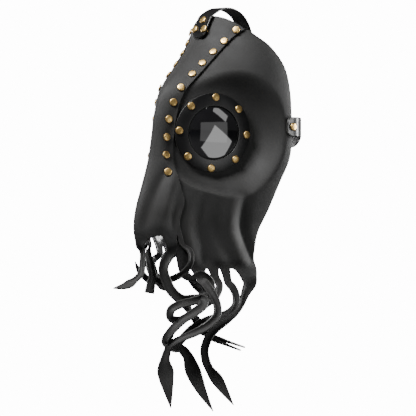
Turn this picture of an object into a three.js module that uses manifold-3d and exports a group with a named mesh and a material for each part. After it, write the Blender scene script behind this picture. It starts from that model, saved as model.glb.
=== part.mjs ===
// Leather half-hood mask with round smoked lenses and curled ribbon ends.
// Millimetres, +Z up, front of the face towards -Y, wearer's left towards +X.
// The origin is midway between the two side-strap rivets, at temple level.
import * as THREE from 'three';
import { mergeVertices } from 'three/addons/utils/BufferGeometryUtils.js';
import Module from 'manifold-3d';

const wasm = await Module();
wasm.setup();

// ---- driving dimensions ----
const LEATHER = 1.8; // thickness of every piece of leather
const GAP = 0.3; // clear space between pieces that lie on each other
const OUTER_TOP = 0; // outer face of the centre panel and the eye rings, on the form
const OUTER_BOTTOM = OUTER_TOP - LEATHER;
const LAYER_GAP = 0.9; // between the two layers of moulded leather
const INNER_TOP = OUTER_BOTTOM - LAYER_GAP; // outer face of the side panels
const INNER_BOTTOM = INNER_TOP - LEATHER;
const STRAP_WIDTH = 20;
const RIBBON = 2.2; // curled ribbon ends are a little thicker than the sheet

const CAP_RADIUS = 4; // double-cap rivets, 8 mm across
const CAP_HEIGHT = 2;
const BACK_RADIUS = 3.3;
const SHANK_RADIUS = 1.5;
const HOLE_RADIUS = 1.95;
const RIVET_SIDES = 6;
const CAP_GAP = 0.4;
const CAP_ROOM = 0.5;

const TOP_MIDDLE = 114; // height of the top edge on the centre line
const TOP_CORNER = 99; // height of the top edge where the panels meet
const CENTRE_HEM = -104; // where the centre panel starts to part into ribbons
const SIDE_HEM = -128; // the same for a side panel
const SEAM_HIDDEN = 6; // how far a side panel reaches past the rivet row under the centre panel
const SEAM_MARGIN = 8; // from the rivet row to the centre panel's edge

// Cross-sections of the moulded form, from chin to crown: height, depth of the ridge,
// side and depth of the rear edge, roundness at the ridge, roundness at the side,
// and the direction in degrees in which the rear edge points.
const FORM = [
  [-150, -130, 49, -23, 12, 24, 84],
  [-127, -138, 52.5, -19.5, 12, 26, 84],
  [-104, -145.5, 53, -19.5, 12, 26, 86],
  [-84, -143.5, 59, -13, 11, 28, 90],
  [-59, -134.5, 67, -6, 10, 30, 96],
  [-34, -126, 74, 2, 9, 32, 100],
  [-11, -121.5, 75.5, 4.5, 8, 34, 102],
  [12, -117.5, 75.5, 4, 8, 36, 102],
  [38, -107, 74.5, 2.5, 11, 38, 100],
  [63, -80.5, 69, -1, 15, 36, 95],
  [85, -60, 57.5, -13, 13, 25, 80],
  [100, -52.5, 42, -27.5, 15, 12, 55],
  [114, -44.5, 34, -27, 15, 10, 50],
];

// Seam rivets: height and distance from the ridge, measured round the form.
const SEAM = [
  [-142, 50], [-118, 44], [-110, 40], [-102, 36.5], [-93, 38], [-84, 40], [-74, 39.5], [-64, 33],
  [-55, 27.5], [-45, 22.2], [-28, 17.3], [-10, 16], [8, 15.8], [25, 16.8], [40, 18.9], [53, 20.2],
  [64, 21.9], [76, 25], [87, 30], [98, 38], [106, 44.5],
];
const SEAM_RIVET_HEIGHTS = [98, 86.5, 75.5, 64, 52.8, 39, 24, 7, -11, -28.7, -45.7];

// Eye: centre of the ring on the form, direction it faces, and its curvature.
const EYE_CENTRE = [35.6, -68.7, -6.5];
const EYE_TURN = THREE.MathUtils.degToRad(66);
const EYE_TILT = THREE.MathUtils.degToRad(-3);
const EYE_BEND_ACROSS = 115;
const EYE_BEND_UP = 160;
const EYE_FLAT = 40; // inside this radius the form is the eye's own shape
const EYE_BLEND = 60; // outside this radius the form is the mask's
const RIDGE_CLEAR = 5; // the ridge stays on the middle plane this far to each side
const EYE_START = 22;
const EYE_OPENING = 27.2;
const EYE_RING = 39.6;
const EYE_RIVET_CIRCLE = 35.6;
const EYE_RIVET_TURN = THREE.MathUtils.degToRad(-3);
const EYE_RIVETS = 8;
const LENS_FLANGE = 31.3;
const LENS_SEAT = 31.8;
const SEAT_DEPTH = 0.8;

// ---- colours ----
const COLOURS = {
  leather: { color: 0x17171a, roughness: 0.45, metalness: 0 },
  brass: { color: 0xb09155, roughness: 0.35, metalness: 1 },
  lens: { color: 0x0b0c0f, roughness: 0.08, metalness: 0 },
};

// ---- solids ----
const toGeometry = (solid) => {
  const made = solid.getMesh();
  const geometry = new THREE.BufferGeometry();
  geometry.setAttribute('position', new THREE.BufferAttribute(made.vertProperties, 3));
  geometry.setIndex(new THREE.BufferAttribute(made.triVerts, 1));
  return geometry;
};

const toSolid = (geometry) => {
  geometry.deleteAttribute('normal');
  geometry.deleteAttribute('uv');
  const merged = mergeVertices(geometry, 1e-4);
  return new wasm.Manifold(new wasm.Mesh({
    numProp: 3,
    vertProperties: new Float32Array(merged.attributes.position.array),
    triVerts: new Uint32Array(merged.index.array),
  }));
};

// Moves every vertex of a geometry to where the function puts it.
const reshape = (geometry, place) => {
  const position = geometry.attributes.position;
  for (let i = 0; i < position.count; i += 1) {
    const moved = place(position.getX(i), position.getY(i), position.getZ(i));
    position.setXYZ(i, moved.x, moved.y, moved.z);
  }
  return geometry;
};

// A sheet: across and along run from 0 to 1, and depth is 0 on its inside and 1 outside.
const sheet = (columns, rows, place) => {
  const box = new THREE.BoxGeometry(1, 1, 1, columns, rows, 1);
  return toSolid(reshape(box, (x, y, z) => place(x + 0.5, y + 0.5, z + 0.5)));
};

const mirrored = (solid) => {
  const geometry = toGeometry(solid);
  reshape(geometry, (x, y, z) => new THREE.Vector3(-x, y, z));
  const index = geometry.index.array;
  for (let i = 0; i < index.length; i += 3) {
    const first = index[i];
    index[i] = index[i + 1];
    index[i + 1] = first;
  }
  return toSolid(geometry);
};

// ---- the moulded form ----
// Smooth value of one column of a table at a height.
const smoothValue = (table, column, height) => {
  const last = table.length - 1;
  let row = 0;
  while (row < last - 1 && table[row + 1][0] < height) {
    row += 1;
  }
  const slope = (i) => {
    const low = Math.max(i - 1, 0);
    const high = Math.min(i + 1, last);
    return (table[high][column] - table[low][column]) / (table[high][0] - table[low][0]);
  };
  const step = table[row + 1][0] - table[row][0];
  const t = THREE.MathUtils.clamp((height - table[row][0]) / step, -0.3, 1.3);
  const t2 = t * t;
  const t3 = t2 * t;
  return (2 * t3 - 3 * t2 + 1) * table[row][column]
    + (t3 - 2 * t2 + t) * step * slope(row)
    + (-2 * t3 + 3 * t2) * table[row + 1][column]
    + (t3 - t2) * step * slope(row + 1);
};

// The left half of the cross-section at a height, as a curve from the ridge to the rear edge.
const sections = new Map();
const sectionAt = (height) => {
  const key = height.toFixed(3);
  if (!sections.has(key)) {
    const [ridge, side, rear, soft, full, turn] = [1, 2, 3, 4, 5, 6].map(
      (column) => smoothValue(FORM, column, height),
    );
    const angle = THREE.MathUtils.degToRad(turn);
    const curve = new THREE.CubicBezierCurve(
      new THREE.Vector2(0, ridge),
      new THREE.Vector2(soft, ridge),
      new THREE.Vector2(side - full * Math.cos(angle), rear - full * Math.sin(angle)),
      new THREE.Vector2(side, rear),
    );
    curve.arcLengthDivisions = 60;
    sections.set(key, { curve, length: curve.getLength() });
  }
  return sections.get(key);
};
const rearReach = (height) => sectionAt(height).length;

const eyeFacing = new THREE.Vector3(
  Math.sin(EYE_TURN) * Math.cos(EYE_TILT),
  -Math.cos(EYE_TURN) * Math.cos(EYE_TILT),
  Math.sin(EYE_TILT),
);
const eyeAcross = new THREE.Vector3(Math.cos(EYE_TURN), Math.sin(EYE_TURN), 0);
const eyeUp = new THREE.Vector3().crossVectors(eyeAcross, eyeFacing).negate();
if (eyeUp.z < 0) {
  eyeUp.negate();
}
const eyeCentre = new THREE.Vector3(...EYE_CENTRE);

// A point on or above the eye's own curved surface.
const onEye = (across, up, height) => {
  const fall = across * across / (2 * EYE_BEND_ACROSS) + up * up / (2 * EYE_BEND_UP);
  const normal = eyeFacing.clone()
    .addScaledVector(eyeAcross, across / EYE_BEND_ACROSS)
    .addScaledVector(eyeUp, up / EYE_BEND_UP)
    .normalize();
  return eyeCentre.clone()
    .addScaledVector(eyeAcross, across)
    .addScaledVector(eyeUp, up)
    .addScaledVector(eyeFacing, -fall)
    .addScaledVector(normal, height);
};

// A point of the form: reach is the distance from the ridge, positive on the left.
const formPoint = (reach, height) => {
  const { curve, length } = sectionAt(height);
  const side = Math.abs(reach);
  const flat = curve.getPointAt(Math.min(side / length, 1));
  const point = new THREE.Vector3(flat.x, flat.y, height);
  const away = point.clone().sub(eyeCentre);
  const across = away.dot(eyeAcross);
  const up = away.dot(eyeUp);
  const near = THREE.MathUtils.smoothstep(-Math.hypot(across, up), -EYE_BLEND, -EYE_FLAT)
    * THREE.MathUtils.smoothstep(side, RIDGE_CLEAR, EYE_START);
  point.lerp(onEye(across, up, 0), near);
  if (reach < 0) {
    point.x = -point.x;
  }
  return point;
};

const formNormal = (reach, height) => {
  const step = 1.2;
  const inside = THREE.MathUtils.clamp(Math.abs(reach), 0, rearReach(height) - step);
  const turned = inside * Math.sign(reach || 1);
  const along = formPoint(turned + step, height).sub(formPoint(turned - step, height));
  const rise = formPoint(turned, height + step).sub(formPoint(turned, height - step));
  return along.cross(rise).normalize();
};

const onForm = (reach, height, offset) => (
  formPoint(reach, height).addScaledVector(formNormal(reach, height), offset)
);

const seamReach = (height) => smoothValue(SEAM, 1, height);

// ---- ribbons ----
// A ribbon follows its route, twists as it goes, and ends in a leaf-shaped point.
const LEAF_START = 0.72;
const POINT_START = 0.88;
const ribbon = (route, beside, { width = 9, twist = 0, leaf = 1, steps = 18 }, spare = 0) => {
  const curve = new THREE.CatmullRomCurve3(route, false, 'centripetal');
  const frames = curve.computeFrenetFrames(steps, false);
  const first = new THREE.Vector3().crossVectors(frames.tangents[0], beside);
  const begin = Math.atan2(-first.dot(frames.normals[0]), first.dot(frames.binormals[0]));
  const widthAt = (t) => {
    const swell = t > LEAF_START ? Math.sin(Math.PI * (t - LEAF_START) / (1.22 - LEAF_START)) : 0;
    const taper = t > POINT_START ? Math.max((1 - t) / (1 - POINT_START), 0.12) : 1;
    return width * (1 + 0.6 * leaf * swell) * taper;
  };
  return sheet(1, steps, (across, along, depth) => {
    const i = Math.round(along * steps);
    const t = i / steps;
    const angle = begin + twist * t;
    const side = frames.normals[i].clone().multiplyScalar(Math.cos(angle))
      .addScaledVector(frames.binormals[i], Math.sin(angle));
    const normal = side.clone().cross(frames.tangents[i]).normalize();
    return curve.getPointAt(t)
      .addScaledVector(side, (across - 0.5) * (widthAt(t) + spare))
      .addScaledVector(normal, (depth - 0.5) * (RIBBON + spare));
  });
};

// ---- panels ----
// Arched hem: depth below the hem at a place between two ribbons.
const archedHem = (hem, place, arches, drop) => {
  const within = (place * arches) % 1;
  const rise = Math.sqrt(Math.max(0, 1 - (2 * within - 1) ** 2));
  return hem - drop * (1 - rise);
};

const topEdge = (reach) => {
  const corner = seamReach(TOP_CORNER) + SEAM_MARGIN;
  return TOP_MIDDLE - (TOP_MIDDLE - TOP_CORNER) * Math.min(1, Math.abs(reach) / corner) ** 2;
};

// Reach of a panel's place across at a height, from 0 at one edge to 1 at the other.
const centreReach = (across, height) => (across * 2 - 1) * (seamReach(height) + SEAM_MARGIN);
const sideReach = (across, height) => (
  THREE.MathUtils.lerp(seamReach(height) - SEAM_HIDDEN, rearReach(height), across)
);

const centreSheet = (bottom, top) => sheet(16, 15, (across, along, depth) => {
  const hem = archedHem(CENTRE_HEM, across, 4, 14);
  const reach = centreReach(across, THREE.MathUtils.lerp(hem, TOP_CORNER, along));
  const height = THREE.MathUtils.lerp(hem, topEdge(reach), along);
  return onForm(reach, height, THREE.MathUtils.lerp(bottom, top, depth));
});

const sidePanel = () => sheet(16, 14, (across, along, depth) => {
  const height = THREE.MathUtils.lerp(archedHem(SIDE_HEM, across, 4, 12), TOP_CORNER, along);
  return onForm(sideReach(across, height), height, INNER_BOTTOM + depth * LEATHER);
});

// ---- eye parts ----
const eyeLathe = (profile, segments) => {
  const outline = profile.map(([radius, height]) => new THREE.Vector2(radius, height));
  const geometry = new THREE.LatheGeometry(outline, segments);
  return toSolid(reshape(geometry, (x, y, z) => onEye(x, -z, y)));
};

const eyeRing = () => eyeLathe([
  [EYE_OPENING, OUTER_TOP - SEAT_DEPTH],
  [LENS_SEAT, OUTER_TOP - SEAT_DEPTH],
  [LENS_SEAT, OUTER_BOTTOM],
  [EYE_RING, OUTER_BOTTOM],
  [EYE_RING, OUTER_TOP],
  [EYE_OPENING, OUTER_TOP],
  [EYE_OPENING, OUTER_TOP - SEAT_DEPTH],
], 20);

const lens = () => eyeLathe([
  [0, -0.2],
  [14, -0.8],
  [24, OUTER_BOTTOM],
  [LENS_FLANGE, OUTER_BOTTOM],
  [LENS_FLANGE, OUTER_TOP - SEAT_DEPTH - GAP],
  [EYE_OPENING - 0.6, OUTER_TOP - SEAT_DEPTH - GAP],
  [20, 0.5],
  [10, 1.6],
  [0, 2],
], 16);

// The flat place that the ring presses into its side panel.
const eyeSeat = () => eyeLathe([
  [0, OUTER_BOTTOM - GAP], [EYE_RING + 1, OUTER_BOTTOM - GAP], [EYE_RING + 1, 9], [0, 9],
], 20);

const eyeCutter = (radius) => eyeLathe([[0, -12], [radius, -12], [radius, 12], [0, 12]], 20);

// ---- rivets ----
// Where a rivet stands: a point on the form, its direction, and the leather it holds.
const stand = (point, normal, bottom, top) => ({ point, normal, bottom, top });

const alongNormal = (place, geometry) => {
  const turn = new THREE.Quaternion().setFromUnitVectors(new THREE.Vector3(0, 1, 0), place.normal);
  geometry.applyQuaternion(turn);
  geometry.translate(place.point.x, place.point.y, place.point.z);
  return toSolid(geometry);
};

const turned = (place, outline) => alongNormal(place, new THREE.LatheGeometry(
  outline.map(([radius, height]) => new THREE.Vector2(radius, height)),
  RIVET_SIDES,
));

const rivet = (place) => {
  const back = place.bottom - CAP_GAP;
  const front = place.top + CAP_GAP;
  return turned(place, [
    [0, back - 0.8], [BACK_RADIUS, back - 0.8], [BACK_RADIUS, back], [SHANK_RADIUS, back],
    [SHANK_RADIUS, front], [CAP_RADIUS, front], [CAP_RADIUS, front + 0.6],
    [CAP_RADIUS * 0.5, front + CAP_HEIGHT], [0, front + CAP_HEIGHT],
  ]);
};

// The hole for a rivet, with the places where its caps press into curved leather.
const rivetHole = (place) => {
  const back = place.bottom - 0.1;
  const front = place.top + 0.1;
  const reach = 6;
  return turned(place, [
    [0, back - reach], [BACK_RADIUS + CAP_ROOM, back - reach], [BACK_RADIUS + CAP_ROOM, back],
    [HOLE_RADIUS, back], [HOLE_RADIUS, front], [CAP_RADIUS + CAP_ROOM, front],
    [CAP_RADIUS + CAP_ROOM, front + reach], [0, front + reach],
  ]);
};

const seamRivets = (side) => SEAM_RIVET_HEIGHTS.map((height) => {
  const reach = side * seamReach(height);
  return stand(formPoint(reach, height), formNormal(reach, height), INNER_BOTTOM, OUTER_TOP);
});

const eyeRivets = (side) => Array.from({ length: EYE_RIVETS }, (_, i) => {
  const angle = EYE_RIVET_TURN + Math.PI * 2 * (i / EYE_RIVETS);
  const across = EYE_RIVET_CIRCLE * Math.cos(angle);
  const up = EYE_RIVET_CIRCLE * Math.sin(angle);
  const point = onEye(across, up, 0);
  const normal = onEye(across, up, 1).sub(point);
  if (side < 0) {
    point.x = -point.x;
    normal.x = -normal.x;
  }
  return stand(point, normal, INNER_BOTTOM, OUTER_TOP);
});

// ---- straps and buckle ----
const STRAP_FRONT = -8; // front end of a side strap, ahead of its rivet
const STRAP_DROP = 10; // how far the middle of the back strap hangs
const STRAP_OFFSET = 76.9; // middle of the side straps at their rivets
const BUCKLE_AT = [-34, 41.5]; // heel bar, seen from above
const BUCKLE_TURN = THREE.MathUtils.degToRad(12);
const WIRE_RADIUS = 1.5;
const FRAME_LENGTH = 20;
const FRAME_RISE = 1.9;
const FRAME_HALF = 13.2;
const PRONG_RADIUS = 0.9;
const EYE_OUTER = 3.3;
const EYE_INNER = 1.85;
const KEEPER_AT = [-58.2, 35.6];
const KEEPER_TURN = THREE.MathUtils.degToRad(34);
const TAB_BOTTOM = 89.5; // lower end of the forehead tab
const TAB_LIFT = 1.1;
const TAB_RIVETS = [[0, 107], [-6.8, 98], [6.8, 98]];
const CROWN_PART = -24; // where the crown strap starts to give as it lifts
const LOOP_RIVET_HEIGHT = 11;

// Height of the middle of the back strap at a distance from the middle plane.
const strapHeight = (x) => -STRAP_DROP * THREE.MathUtils.smoothstep(76 - Math.abs(x), 0, 40);

// A place beside the buckle: along runs from the heel bar towards the right strap.
const byBuckle = (along, out) => [
  BUCKLE_AT[0] - along * Math.cos(BUCKLE_TURN) - out * Math.sin(BUCKLE_TURN),
  BUCKLE_AT[1] - along * Math.sin(BUCKLE_TURN) + out * Math.cos(BUCKLE_TURN),
];

// How wide a strap is near its rounded end, as a share of its full width.
const roundedEnd = (distance, radius) => {
  if (distance >= radius) {
    return 1;
  }
  return 0.4 + 0.6 * Math.sqrt(1 - (1 - distance / radius) ** 2);
};

// A strap of even width whose middle follows a curve; widthways gives its broad direction.
const strapOn = (curve, widthways, { steps, roundStart = 0, roundEnd = 0, lift = () => 0 }) => {
  const length = curve.getLength();
  return sheet(1, steps, (across, along, depth) => {
    const t = THREE.MathUtils.clamp(along, 0, 1);
    const normal = widthways.clone().cross(curve.getTangentAt(t)).normalize();
    const round = Math.min(
      roundedEnd(t * length, roundStart),
      roundedEnd((1 - t) * length, roundEnd),
    );
    const point = curve.getPointAt(t);
    point.z += lift(point);
    return point
      .addScaledVector(widthways, (across - 0.5) * STRAP_WIDTH * round)
      .addScaledVector(normal, (depth - 0.5) * LEATHER);
  });
};

const smoothCurve = (points) => new THREE.CatmullRomCurve3(points, false, 'centripetal');
const planCurve = (route) => smoothCurve(route.map(([x, y]) => new THREE.Vector3(x, y, 0)));

const backStrap = (route, steps, roundEnd) => strapOn(
  planCurve(route), new THREE.Vector3(0, 0, 1),
  { steps, roundStart: 8, roundEnd, lift: (point) => strapHeight(point.x) },
);

const leftStrap = () => {
  const slot = new THREE.BoxGeometry(13, 12, 4.2);
  slot.rotateZ(BUCKLE_TURN);
  const [x, y] = byBuckle(-9.5, 3);
  slot.translate(x, y, strapHeight(x));
  return backStrap([
    [STRAP_OFFSET, STRAP_FRONT], [STRAP_OFFSET, 0], [STRAP_OFFSET, 6], [73.2, 14], [64, 23], [51, 32],
    [37, 38.6], [24, 42.6], [12, 44.6], [-4, 44.8], byBuckle(-20, -1), byBuckle(-13, 0.8), byBuckle(-6, 4.6),
    byBuckle(0, 5.6), byBuckle(8, 4.6), byBuckle(16, 3.9), [-59.2, 36.9], [-66.5, 31], [-71, 26],
  ], 34, 8).subtract(toSolid(slot));
};

const rightStrap = () => {
  const slot = new THREE.BoxGeometry(10, 14, 4.2);
  slot.rotateZ(BUCKLE_TURN);
  const [x, y] = byBuckle(-1, 0);
  slot.translate(x, y, strapHeight(x));
  return backStrap([
    [-STRAP_OFFSET, STRAP_FRONT], [-STRAP_OFFSET, 0], [-STRAP_OFFSET, 7], [-73.5, 15], [-67.5, 24.5],
    [-57.2, 34.3], byBuckle(16, 1.1), byBuckle(8, 1.1), byBuckle(3, 2.6), byBuckle(0, 3), byBuckle(-2.1, 2.1),
    byBuckle(-3, 0), byBuckle(-2.1, -2.1), byBuckle(0, -3), byBuckle(4, -2.6), byBuckle(9, -1.7),
    byBuckle(16, -1.8),
  ], 40, 0).subtract(toSolid(slot));
};

const roundBar = (from, to, radius) => {
  const axis = to.clone().sub(from);
  const bar = new THREE.CylinderGeometry(radius, radius, axis.length(), 8);
  bar.translate(0, axis.length() / 2, 0);
  bar.applyQuaternion(
    new THREE.Quaternion().setFromUnitVectors(new THREE.Vector3(0, 1, 0), axis.normalize()),
  );
  bar.translate(from.x, from.y, from.z);
  return toSolid(bar);
};

const buckleLevel = -STRAP_DROP;
const buckleCorner = (along, out, rise) => {
  const [x, y] = byBuckle(along, out);
  return new THREE.Vector3(x, y, buckleLevel + rise);
};

const buckleFrame = () => {
  const corners = [
    buckleCorner(0, 0, -FRAME_HALF),
    buckleCorner(-FRAME_LENGTH, FRAME_RISE, -FRAME_HALF),
    buckleCorner(-FRAME_LENGTH, FRAME_RISE, FRAME_HALF),
    buckleCorner(0, 0, FRAME_HALF),
  ];
  const bars = corners.map((corner, i) => {
    const next = corners[(i + 1) % corners.length];
    const beyond = next.clone().sub(corner).setLength(WIRE_RADIUS * 0.8);
    return roundBar(corner.clone().sub(beyond), next.clone().add(beyond), WIRE_RADIUS);
  });
  return bars.reduce((joined, bar) => joined.add(bar));
};

const buckleProng = () => {
  const half = 1.3;
  const eye = new THREE.LatheGeometry([
    new THREE.Vector2(EYE_INNER, -half),
    new THREE.Vector2(EYE_OUTER, -half),
    new THREE.Vector2(EYE_OUTER, half),
    new THREE.Vector2(EYE_INNER, half),
    new THREE.Vector2(EYE_INNER, -half),
  ], 12);
  eye.rotateX(Math.PI / 2);
  const middle = buckleCorner(0, 0, 0);
  eye.translate(middle.x, middle.y, middle.z);
  const tip = FRAME_RISE + WIRE_RADIUS + GAP + PRONG_RADIUS;
  return toSolid(eye)
    .add(roundBar(buckleCorner(-2.3, 0.9, 0), buckleCorner(-FRAME_LENGTH - 2, tip + 0.3, 0), PRONG_RADIUS));
};

// A band of leather round both straps.
const strapKeeper = () => {
  const band = (length, depth, height) => {
    const box = new THREE.BoxGeometry(length, depth, height);
    box.rotateZ(KEEPER_TURN);
    box.translate(KEEPER_AT[0], KEEPER_AT[1], strapHeight(KEEPER_AT[0]));
    return toSolid(box);
  };
  return band(7, 10.6, 26.8).subtract(band(9, 8, 24.2));
};

// The crown strap seen from the side: over the forehead, the crown, and down to its loop.
const frontRun = () => {
  const onTab = [TAB_BOTTOM, 95, 100.5, 106, 111].map(
    (height) => onForm(0, height, OUTER_TOP + GAP + LEATHER / 2 + TAB_LIFT),
  );
  return [...onTab, new THREE.Vector3(0, -39, 118), new THREE.Vector3(0, -31, 121)];
};
const crownJoin = new THREE.Vector3(0, CROWN_PART, 121.4);
const crownDirection = new THREE.Vector3(0, 1, -0.04).normalize();
const REAR_RUN = [
  [-16, 120.3], [-6, 116], [2, 108], [8, 96], [16, 74], [26, 48], [37, 28], [43.4, 18], [47.4, 9],
  [50.2, -1], [50.4, -12], [49.8, -22], [45, -28.4], [40, -22], [39, -12], [39.1, -1], [42.6, 9.5], [42.2, 15],
];
const wide = new THREE.Vector3(-1, 0, 0);
const crownFront = () => strapOn(
  smoothCurve([...frontRun(), crownJoin.clone().addScaledVector(crownDirection, -GAP / 2)]),
  wide, { steps: 16, roundStart: 9 },
);
const crownRear = () => strapOn(
  smoothCurve([
    crownJoin.clone().addScaledVector(crownDirection, GAP / 2),
    ...REAR_RUN.map(([y, z]) => new THREE.Vector3(0, y, z)),
  ]),
  wide, { steps: 36 },
);

const tabStands = TAB_RIVETS.map(([x, height]) => {
  const normal = formNormal(0, height);
  const point = formPoint(0, height);
  point.x = x;
  return stand(point, normal, OUTER_BOTTOM - 1.8, OUTER_TOP + GAP + LEATHER + TAB_LIFT);
});
const loopStand = stand(
  new THREE.Vector3(0, 44.6, LOOP_RIVET_HEIGHT), new THREE.Vector3(0, 1, 0), -2.9, 2.9,
);
const sideStand = (sign) => stand(
  new THREE.Vector3(sign * STRAP_OFFSET, 0, 0), new THREE.Vector3(sign, 0, 0), -6.6, LEATHER / 2,
);

// ---- ribbon ends ----
// Each ribbon grows out of a leg of its panel's arched hem: leg is the share of the hem's
// width, and the route goes on from there.
const CENTRE_RIBBONS = [
  { leg: 0.97, width: 8, twist: 1.0, route: [
    [27, -96, -124], [20, -88, -138], [8, -85, -147], [-6, -91, -153], [-16, -101, -158],
    [-24, -110, -148], [-30, -115, -135]] },
  { leg: 0.74, twist: 1.2, route: [
    [20, -118, -121], [16, -124, -137], [12, -116, -154], [9, -102, -168], [6, -88, -180],
    [2, -74, -194], [-4, -58, -206], [-10, -24, -214], [-14, 16, -223]] },
  { leg: 0.32, twist: 0.4, leaf: 0, route: [
    [-16, -118, -121], [-14, -116, -137], [-10, -114, -154], [-9, -117, -170]] },
  { leg: 0.03, twist: 1.4, route: [
    [-31, -111, -124], [-29, -110, -140], [-28, -116, -153], [-28, -132, -159],
    [-31, -145, -161], [-35, -160, -160]] },
];
const SIDE_RIBBONS = [
  { leg: 0.97, twist: 1.4, steps: 20, route: [
    [52, -27, -144], [51, -33, -160], [47, -38, -177], [40, -48, -191], [35, -62, -202],
    [32, -72, -212], [30, -75, -224], [30, -70, -240], [31, -56, -259], [34, -41, -279]] },
  { leg: 0.6, twist: -1.2, steps: 20, route: [
    [52, -66, -146], [56, -59, -163], [54, -54, -177], [46, -62, -191], [37, -78, -200],
    [30, -92, -210], [26, -92, -222], [27, -83, -244], [29, -74, -266], [32, -68, -285]] },
  { leg: 0.26, twist: 1.0, steps: 20, route: [
    [43, -94, -148], [46, -88, -160], [48, -79, -172], [44, -74, -187], [36, -88, -203],
    [28, -106, -213], [22, -122, -220], [20, -124, -235], [20, -121, -259], [22, -116, -281]] },
];
const ROOT_ABOVE = 12; // how far a ribbon's root reaches up into its panel
const ROOT_BELOW = 8;

const ribbonSolids = (ribbons, reachAt, hem, offset, spare = 0) => ribbons.map((spec) => {
  const reach = reachAt(spec.leg, hem);
  const top = onForm(reach, hem + ROOT_ABOVE, offset);
  const foot = onForm(reach, hem - ROOT_BELOW, offset);
  const beside = onForm(reach + 1, hem, offset).sub(onForm(reach - 1, hem, offset)).normalize();
  const route = [top, foot, ...spec.route.map((p) => new THREE.Vector3(...p))];
  return ribbon(route, beside, spec, spare);
});
const joinAll = (solids) => solids.reduce((joined, solid) => joined.add(solid));

// ---- assembly ----
const cutAll = (solid, cutters) => cutters.reduce((rest, cutter) => rest.subtract(cutter), solid);
const model = new THREE.Group();
const put = (name, solid, kind) => {
  const mesh = new THREE.Mesh(toGeometry(solid), new THREE.MeshStandardMaterial(COLOURS[kind]));
  mesh.name = name;
  model.add(mesh);
};

const seamLeft = seamRivets(1);
const seamRight = seamRivets(-1);
const eyeLeft = eyeRivets(1);
const ringSpace = eyeCutter(EYE_RING + 0.4);

const centreRibbons = (spare) => ribbonSolids(
  CENTRE_RIBBONS, centreReach, CENTRE_HEM, OUTER_TOP - LEATHER / 2 + 0.3, spare,
);
const sideRibbons = ribbonSolids(SIDE_RIBBONS, sideReach, SIDE_HEM, INNER_BOTTOM + LEATHER / 2 - 0.3);
const centre = cutAll(
  joinAll([centreSheet(OUTER_BOTTOM, OUTER_TOP), ...centreRibbons(0)]),
  [...[...seamLeft, ...seamRight, ...tabStands].map(rivetHole), ringSpace, mirrored(ringSpace)],
);
const side = cutAll(
  joinAll([sidePanel().subtract(eyeSeat()), ...sideRibbons]),
  [...[...eyeLeft, ...seamLeft, sideStand(1)].map(rivetHole), eyeCutter(EYE_OPENING + 0.4)],
);
const centreSpace = joinAll([centreSheet(OUTER_BOTTOM - GAP, OUTER_TOP + 3), ...centreRibbons(2 * GAP), centre]);
const ring = cutAll(eyeRing(), eyeLeft.map(rivetHole));

put('centre_panel', centre, 'leather');
put('left_side_panel', side.subtract(centreSpace), 'leather');
put('right_side_panel', mirrored(side).subtract(centreSpace), 'leather');
put('left_eye_ring', ring, 'leather');
put('right_eye_ring', mirrored(ring), 'leather');
put('left_lens', lens(), 'lens');
put('right_lens', mirrored(lens()), 'lens');
put('crown_strap_front', cutAll(crownFront(), tabStands.map(rivetHole)), 'leather');
put('crown_strap_rear', crownRear().subtract(rivetHole(loopStand)), 'leather');
put('back_strap_left', leftStrap().subtract(rivetHole(sideStand(1))), 'leather');
put('back_strap_right', rightStrap().subtract(rivetHole(sideStand(-1))), 'leather');
put('buckle_frame', buckleFrame(), 'brass');
put('buckle_prong', buckleProng(), 'brass');
put('strap_keeper', strapKeeper(), 'leather');

const putRivets = (name, stands) => stands.forEach((place, i) => {
  put(`${name}_${i + 1}`, rivet(place), 'brass');
});
putRivets('left_seam_rivet', seamLeft);
putRivets('right_seam_rivet', seamRight);
putRivets('left_eye_rivet', eyeLeft);
putRivets('right_eye_rivet', eyeRivets(-1));
putRivets('forehead_rivet', tabStands);
put('left_strap_rivet', rivet(sideStand(1)), 'brass');
put('right_strap_rivet', rivet(sideStand(-1)), 'brass');
put('crown_loop_rivet', rivet(loopStand), 'brass');

export default model;
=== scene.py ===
"""Leather half-hood mask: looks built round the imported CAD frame. Metres, front of the face towards -Y."""
import math

import bpy
import numpy as np
from mathutils import Matrix, Vector


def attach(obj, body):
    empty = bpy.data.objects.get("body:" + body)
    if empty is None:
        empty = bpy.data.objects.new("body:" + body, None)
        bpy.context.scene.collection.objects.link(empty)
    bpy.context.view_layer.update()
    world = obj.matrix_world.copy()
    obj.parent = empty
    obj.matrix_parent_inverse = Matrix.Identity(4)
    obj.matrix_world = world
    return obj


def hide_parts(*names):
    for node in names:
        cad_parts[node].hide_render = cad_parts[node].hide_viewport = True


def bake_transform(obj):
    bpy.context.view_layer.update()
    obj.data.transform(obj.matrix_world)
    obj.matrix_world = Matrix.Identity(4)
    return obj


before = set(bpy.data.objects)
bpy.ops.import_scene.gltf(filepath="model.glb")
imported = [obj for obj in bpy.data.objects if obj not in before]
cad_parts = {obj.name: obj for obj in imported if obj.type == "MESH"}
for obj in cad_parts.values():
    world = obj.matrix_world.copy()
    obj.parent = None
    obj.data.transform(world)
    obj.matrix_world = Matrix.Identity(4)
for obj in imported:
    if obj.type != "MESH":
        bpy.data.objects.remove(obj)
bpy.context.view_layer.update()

MM = 0.001
LEATHER = 1.9  # sheet thickness, mm
CENTRE_MID = -0.9  # middle of the centre panel's thickness below the form, mm
SIDE_MID = -3.5
RING_TOP = 0.5


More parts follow.
